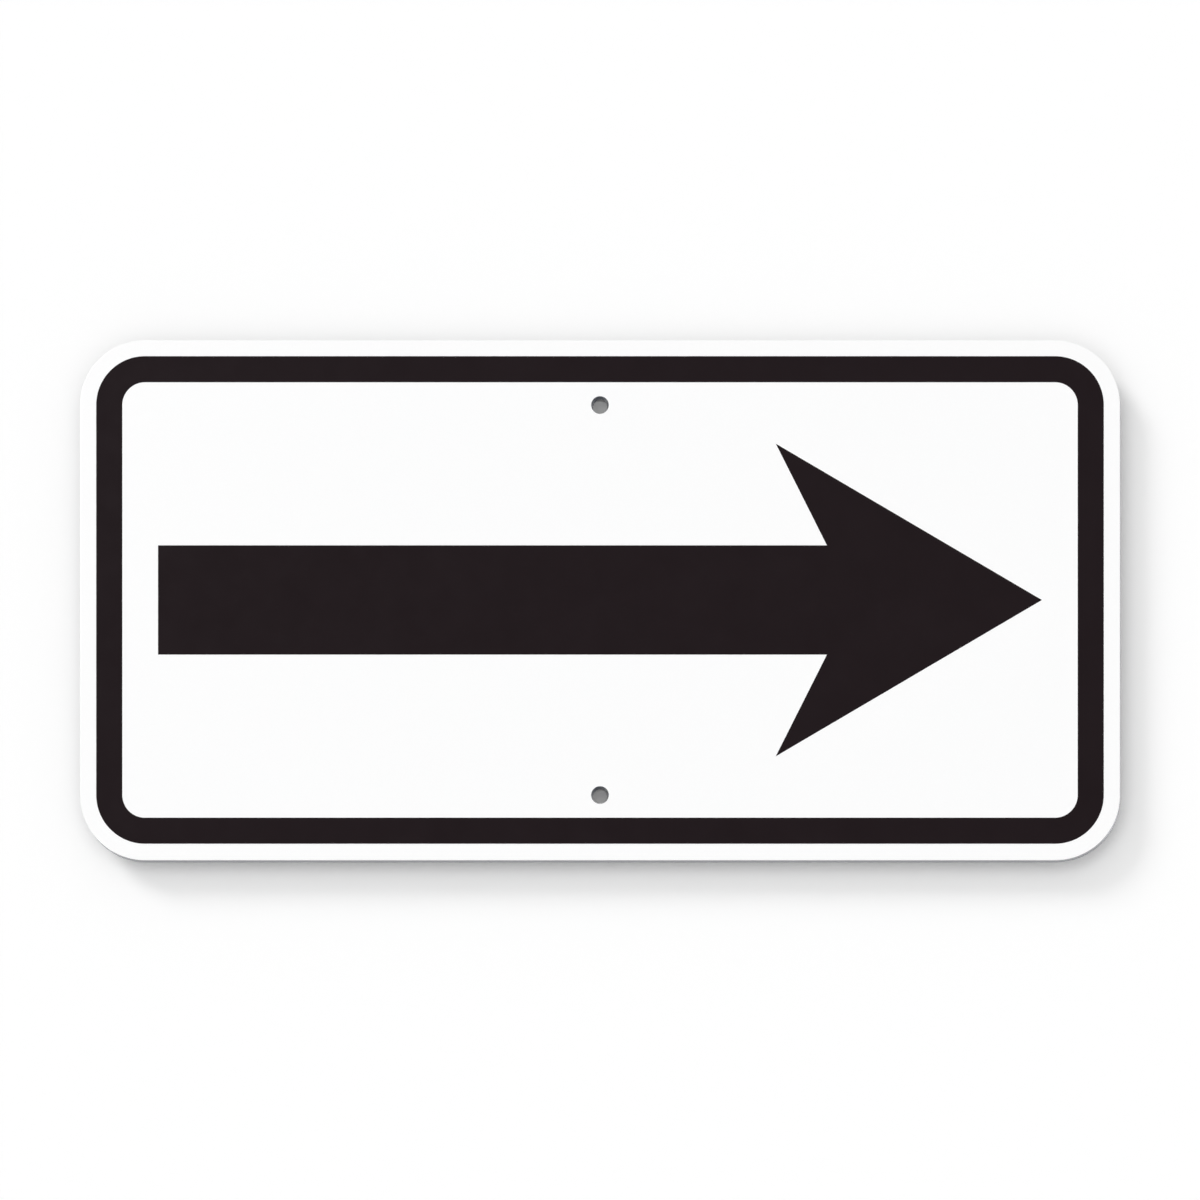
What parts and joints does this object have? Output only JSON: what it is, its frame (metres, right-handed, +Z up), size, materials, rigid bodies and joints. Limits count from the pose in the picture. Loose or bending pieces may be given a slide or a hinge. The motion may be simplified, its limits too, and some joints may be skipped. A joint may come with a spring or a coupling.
{
  "type": "route marker plaque",
  "caption": "Flat rectangular road sign plaque with rounded corners, white reflective face, black border and arrow, and punched holes for bolting it to a post.",
  "frame": {"origin": "centre of the back face of the blank, midway between the two bolt holes", "axes": "+Z up; +X along the width, to the right as one reads the face; +Y out of the back, towards the post; the printed face looks along -Y"},
  "size_m": [0.6096, 0.0024, 0.3048],
  "materials": {
    "sheet_aluminium": "mill finish, fine rolled grain, sheared edge",
    "white_sheeting": "white reflective sheeting, smooth satin gloss",
    "black_film": "opaque black film, satin gloss"
  },
  "bodies": {
    "root": {"aluminium_blank": "sheet_aluminium", "white_sheeting": "white_sheeting", "border_film": "black_film", "arrow_film": "black_film"}
  },
  "joints": []
}
